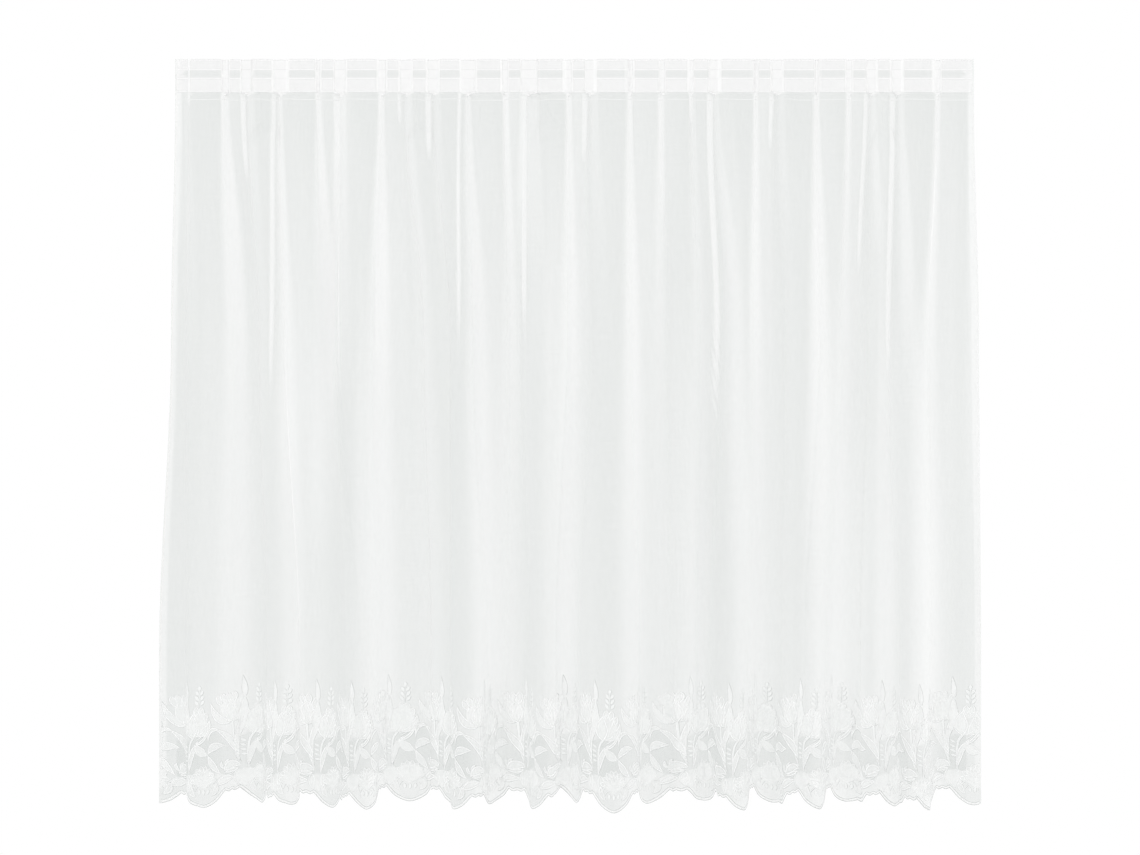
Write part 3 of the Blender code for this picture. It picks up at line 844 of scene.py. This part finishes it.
def bentLine(stops, count):  # a smooth line through the stops, in metres, and its unit normal
    stops = np.array(stops, float) * mm
    if len(stops) == 3:  # the middle stop pulls the line towards itself
        t = np.linspace(0.0, 1.0, count)[:, None]
        line = stops[0] * (1 - t) ** 2 + stops[1] * 2 * t * (1 - t) + stops[2] * t**2
    else:
        ends = np.vstack([2 * stops[0] - stops[1], stops, 2 * stops[-1] - stops[-2]])
        place = np.linspace(0.0, len(stops) - 1.0001, count)  # ends just short of the last stop
        k = place.astype(int)
        t = (place - k)[:, None]
        a, b, c, d = ends[k], ends[k + 1], ends[k + 2], ends[k + 3]
        line = 2 * b + (c - a) * t + (2 * a - 5 * b + 4 * c - d) * t**2 + (3 * b - a - 3 * c + d) * t**3
        line *= 0.5
    return line, normalOf(line)


def swelling(width, widest, blunt, count):  # half widths along a leaf
    t = np.linspace(0.0, 1.0, count)
    sway = np.sin(np.pi * t ** (math.log(0.5) / math.log(widest)))
    full = np.sqrt(1.0 - (2.0 * np.clip(t, 0.5, 1.0) - 1.0) ** 4) * np.minimum(2.0 * t, 1.0)
    return 0.5 * width * mm * blend(sway, np.maximum(sway, full), blunt)


fills, outlines, contours, cords = [], [], [], []  # strips on the flat cloth: their lines, layers and lift


def joinStrips(strips):  # points and faces of all the strips, and each point's layers and lift
    points, faces, values, count = [], [], [], 0
    for sides, layers, lift in strips:
        points.append(np.concatenate(sides))
        faces.append(gridFaces(len(sides), len(sides[0])) + count)
        values.append(np.tile([layers, lift], (len(points[-1]), 1)))
        count += len(points[-1])
    return np.concatenate(points), np.concatenate(faces), *np.concatenate(values).T


def insideLoop(places, loop):  # which of these places lie inside a closed outline
    ends = np.roll(loop, -1, axis=0)
    x, y = places[:, 0, None], places[:, 1, None]
    crosses = (loop[:, 1] > y) != (ends[:, 1] > y)
    rise = np.where(ends[:, 1] == loop[:, 1], 1e-12, ends[:, 1] - loop[:, 1])
    reach = loop[:, 0] + (y - loop[:, 1]) * (ends[:, 0] - loop[:, 0]) / rise
    return (crosses & (x < reach)).sum(axis=1) % 2 == 1


def drawLine(line, normal, half, layers, lift, strips, hiddenBy=()):
    half = np.broadcast_to(half, (len(line), 1))
    hidden = np.zeros(len(line), bool)
    for loop in hiddenBy:
        hidden |= insideLoop(line, loop)
    shown = np.flatnonzero(~hidden)
    sides = np.stack([line - normal * half, line + normal * half])
    for run in np.split(shown, np.flatnonzero(np.diff(shown) > 1) + 1):
        if len(run) > 1:
            strips.append((sides[:, run], layers, lift))


def leafShape(stops, width, widest, blunt, layers, rim, veins=0):
    line, normal = bentLine(stops, border["steps"])
    half = swelling(width, widest, blunt, border["steps"])[:, None]
    loop = np.concatenate([line - normal * half, (line + normal * half)[::-1]])
    return line, normal, half, layers, rim, veins, loop


def drawContour(line, outward, hiddenBy):  # open stitches beside a motif, with a painted shadow that widens them on its lower right side
    facing = np.clip(outward @ np.array(border["shadowSide"]), 0.0, 1.0)[:, None]
    half = 0.5 * border["contour"] * blend(border["contourLeast"], 1.0, facing)
    drawLine(line + outward * half, outward, half, border["contourLayers"], 0.0, contours, hiddenBy)


def drawLeaf(shape, order, infront, others):  # infront: outlines of the leaves that cover this one
    line, normal, half, layers, rim, veins, _ = shape
    lift = border["stackStep"] * order
    fills.append(([line - normal * half, line, line + normal * half], layers * border["fillLayers"], lift))
    edge = 0.5 * border["outline"]
    veinHalf = np.minimum(half, 0.5 * border["vein"])
    single, paired = border["veinLayers"]
    above = lift + 0.5 * border["stackStep"]
    for side in (-1, 1):
        drawContour(line + side * normal * half, side * normal, others)
        if rim:
            path = line + side * normal * np.maximum(half - edge, 0.0)
            rimHalf = np.clip(half, border["rimLeast"] * edge, edge)
            drawLine(path, normal, rimHalf, rim * border["rimLayers"], above, outlines, infront)
        if veins == 2:  # veins stop short of the leaf's ends
            path = line + side * normal * half * border["veinAt"]
            drawLine(path[2:-2], normal[2:-2], veinHalf[2:-2], paired, above, outlines, infront)
    if veins == 1:
        drawLine(line[1:-3], normal[1:-3], veinHalf[1:-3], single, above, outlines, infront)


def edgeLine(inset):  # one repeat of the scalloped edge, this far in, and its unit normal
    along = np.linspace(0.0, curtain["repeat"], cord["drawnSteps"])
    line = np.column_stack([along - curtain["firstAt"], curtain["drop"] - hemRise(along)])
    length = np.concatenate([[0.0], np.cumsum(np.linalg.norm(np.diff(line, axis=0), axis=1))])
    even = np.linspace(0.0, length[-1], cord["steps"])
    line = np.column_stack([np.interp(even, length, part) for part in line.T])
    normal = -normalOf(line)
    return line + normal * inset, normal


def pointing(turn):  # a unit direction, from an angle away from straight up
    return np.array([math.sin(turn), -math.cos(turn)])


def petalLeaves():  # the big flower's petals
    middle = np.array(bigFlower["at"], float)
    for across, down, length, width, count, first, last, rim in petalRings:
        for turn in np.radians(np.linspace(first, last, count)):
            away = pointing(turn)
            start = middle + away * (across, down)
            stops = (start, start + away * 0.5 * length, start + away * length)
            yield leafShape(stops, width, *bigFlower["petalShape"], bigFlower["petalLayers"], rim)


def budLeaves():
    for place, length, width, turn in buds:
        away = 0.5 * length * pointing(math.radians(turn))
        stops = (place - away, place, place + away)
        yield leafShape(stops, width, *border["budShape"], border["budLayers"], 0.0)


def drawBorder():
    shapes = [leafShape(np.reshape(leaf[:6], (3, 2)), *leaf[6:]) for leaf in leaves]
    shapes += [*petalLeaves(), *budLeaves()]
    loops = [shape[-1] for shape in shapes]
    for order, shape in enumerate(shapes):
        drawLeaf(shape, order, loops[order + 1 :], loops[:order] + loops[order + 1 :])
    for stops, start, end in stems:
        line, normal = bentLine(stops, border["steps"])
        half = np.linspace(0.5 * start, 0.5 * end, border["steps"])[:, None] * mm
        drawLine(line, normal, half, border["stemLayers"], 0.0, fills)
        for side in (-1, 1):
            drawContour(line + side * normal * half, side * normal, loops)
    line, normal = edgeLine(cord["inset"])
    drawLine(line, normal, 0.5 * cord["width"], cord["layers"], cord["lift"], cords)
    for inset, width, layers in (cord["edge"], cord["inner"]):
        line, normal = edgeLine(inset)
        drawLine(line, normal, 0.5 * width, layers, 0.0, contours)


drawBorder()


def weaveRepeats(name, strips, material, infront):
    flat, faces, layers, lift = joinStrips(strips)
    places, kept = [], []
    for repeat in range(-1, curtain["repeats"] + 1):
        along = flat[:, 0] + curtain["firstAt"] + repeat * curtain["repeat"]
        inside = (along > border["edgeClear"]) & (along < flatWidth - border["edgeClear"])
        kept.append(faces[inside[faces].all(axis=1)] + len(places) * len(flat))
        places.append(np.column_stack([along, -flat[:, 1]]))
    met, kept = np.unique(np.concatenate(kept), return_inverse=True)  # leave out points that no face uses
    flatPlaces = np.concatenate(places)[met]
    layers, lift = (np.tile(part, len(places))[met] for part in (layers, lift))
    points = onCloth(flatPlaces[:, 0], -flatPlaces[:, 1], -(infront + lift))
    return addMesh(name, points, kept.reshape(-1, 4), material, flatPlaces, {"layersAndHighlights": layers})


wovenFills = weaveRepeats("flower_fills", fills, fabrics["wovenFlowers"], border["infront"])
wovenOutlines = weaveRepeats("flower_outlines", outlines, fabrics["flowerOutlines"], border["infront"])
contourLines = weaveRepeats("open_and_shadow_contours", contours, fabrics["openAndShadowLines"], border["contourInfront"])
edgeCord = weaveRepeats("scallop_cord", cords, fabrics["whiteCord"], border["infront"])

print("Sewing on the heading tape")
tape = {
    "drop": 64.8 * mm,
    "behind": 0.4 * mm,  # it lies this far behind the net
    "slotFrom": 22.5 * mm,  # the see-through strip between the two bands
    "slotTo": 35.5 * mm,
    "slotEnd": 16 * mm,
    "endRound": 6 * mm,
    "slotSoft": 0.3 * mm,
    "rows": 30,
}


def slotAt(along, drop):
    middle = 0.5 * (tape["slotFrom"] + tape["slotTo"])
    half = 0.5 * (tape["slotTo"] - tape["slotFrom"])
    fromEnd = np.minimum(along, flatWidth - along) - tape["slotEnd"]
    corner = np.hypot(np.maximum(tape["endRound"] - fromEnd, 0.0), drop - middle) < tape["endRound"]
    inside = (fromEnd > tape["endRound"]) | (corner & (fromEnd > 0.0))
    return (inside & (np.abs(drop - middle) < half)).astype(float)


def sewTape():
    slotEdges = [tape[end] + side * tape["slotSoft"] for end in ("slotFrom", "slotTo") for side in (-1, 1)]
    rows = []
    for drop in np.sort(np.append(np.linspace(0.0, tape["drop"], tape["rows"]), slotEdges)):
        along = np.clip(gridColumns(drop), curtain["tapeInset"], flatWidth - curtain["tapeInset"])
        rows.append((along, drop))
    values = {"layersAndHighlights": 1.0, "openGround": np.concatenate([slotAt(*row) for row in rows])}
    return hangRows("heading_tape_cloth", rows, fabrics["headingTape"], tape["behind"], values)


headingTape = sewTape()

stitches = {
    "rows": (  # drop, half of the thread's width, and layers of cloth that its stitches amount to
        (3 * mm, 0.4 * mm, 1.2),
        (20.5 * mm, 0.35 * mm, 1.4),
        (37.5 * mm, 0.35 * mm, 1.4),
        (62.5 * mm, 0.45 * mm, 1.0),
        (79 * mm, 0.6 * mm, 0.8),
    ),
    "length": 3.6 * mm,
    "gap": 1.0 * mm,
    "columns": 4,
    "infront": 0.15 * mm,
    "tapeShadow": (65.6 * mm, 0.8 * mm, 0.5),  # painted shadow line just under the tape's lower edge, in pieces of this length
    "tapeShadowLength": 6 * mm,
}


def sewRow(name, material, row, length, gap):
    drop, half, layers = row
    starts = np.arange(curtain["tapeInset"], flatWidth, length + gap)
    along = starts[:, None] + length * np.linspace(0.0, 1.0, stitches["columns"])
    along = along[along[:, -1] < flatWidth - curtain["tapeInset"]]
    upper = np.arange(along.size).reshape(along.shape)
    lower = upper + along.size
    faces = np.stack([upper[:, :-1], lower[:, :-1], lower[:, 1:], upper[:, 1:]], axis=-1).reshape(-1, 4)
    run = np.tile(along.ravel(), 2)
    down = np.repeat([drop - half, drop + half], along.size)
    points = onCloth(run, down, -stitches["infront"])
    return addMesh(name, points, faces, material, np.column_stack([run, -down]), {"layersAndHighlights": layers})


sewnRows = []
for number, row in enumerate(stitches["rows"]):
    name = f"stitch_row_{number + 1}"
    sewnRows.append(sewRow(name, fabrics["flowerOutlines"], row, stitches["length"], stitches["gap"]))
# a grey line just under the tape: painted shadow of the tape's lower edge
sewnRows.append(sewRow("shadow_under_tape", fabrics["openAndShadowLines"], stitches["tapeShadow"], stitches["tapeShadowLength"], 0.0))

print("Placing the curtain on its frame")
for piece in (lacePanel, wovenFills, wovenOutlines, contourLines, edgeCord, leftHem, rightHem, *sewnRows):
    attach(piece, "root")
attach(headingTape, "root")
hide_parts("curtain_panel")
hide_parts("heading_tape")

print("Setting up the studio")
studio = {
    "white": (1.0, 1.0, 1.0),
    "behindNet": (0.638, 0.665, 0.651),  # what the room behind the net looks like through it
    "floor": (0.85, 0.85, 0.85),
    "floorBehindNet": (0.53, 0.55, 0.54),
    "floorRoughness": 0.9,
    "light": 1.118,
    "floorDrop": -2.45,
    "floorSize": 5.6,
    "cameraAt": (-0.0087, -2.75, -0.7149),
    "framePixels": 1140,  # width of the photograph
    "pixelSize": 1.94,  # millimetres
    "sensorWidth": 36.0,
    "clearLayers": 48,  # most layers of cloth that a ray passes
}


def seenColour(tree, direct, throughCloth):  # a colour that changes where it is seen through cloth
    path = tree.nodes.new("ShaderNodeLightPath")
    through = mathNode(tree, "GREATER_THAN", path.outputs["Transparent Depth"], 0.5)
    seen = mathNode(tree, "MULTIPLY", through, path.outputs["Is Camera Ray"])
    mix = tree.nodes.new("ShaderNodeMix")
    mix.data_type = "RGBA"
    setInputs(mix, {"A": (*direct, 1.0), "B": (*throughCloth, 1.0)})
    tree.links.new(seen, mix.inputs["Factor"])
    return mix.outputs["Result"], path


def setStudio():
    scene = bpy.context.scene
    world = bpy.data.worlds.new("studio")
    world.use_nodes = True
    scene.world = world
    tree = world.node_tree
    colour, path = seenColour(tree, studio["white"], studio["behindNet"])
    background = tree.nodes["Background"]
    tree.links.new(colour, background.inputs["Color"])
    light, cameraRay = studio["light"], path.outputs["Is Camera Ray"]
    strength = mathNode(tree, "MULTIPLY_ADD", cameraRay, 1.0 - light, light)
    tree.links.new(strength, background.inputs["Strength"])

    paint = bpy.data.materials.new("paleFloor")
    paint.use_nodes = True
    shader = paint.node_tree.nodes["Principled BSDF"]
    colour, _ = seenColour(paint.node_tree, studio["floor"], studio["floorBehindNet"])
    paint.node_tree.links.new(colour, shader.inputs["Base Color"])
    shader.inputs["Roughness"].default_value = studio["floorRoughness"]
    half = 0.5 * studio["floorSize"]
    corners = [(-half, -half), (half, -half), (half, half), (-half, half)]
    points = [(x, y, studio["floorDrop"]) for x, y in corners]
    addMesh("floor", points, [(0, 1, 2, 3)], paint, corners, {})

    lens = bpy.data.cameras.new("camera")
    lens.sensor_width = studio["sensorWidth"]
    frameWidth = studio["framePixels"] * studio["pixelSize"] * mm
    lens.lens = lens.sensor_width * abs(studio["cameraAt"][1]) / frameWidth
    camera = bpy.data.objects.new("camera", lens)
    camera.location = studio["cameraAt"]
    camera.rotation_euler = (math.radians(90), 0, 0)
    scene.collection.objects.link(camera)
    scene.camera = camera
    scene.view_settings.view_transform = "Standard"
    scene.view_settings.look = "None"
    scene.cycles.transparent_max_bounces = studio["clearLayers"]


setStudio()

print("Curtain ready")
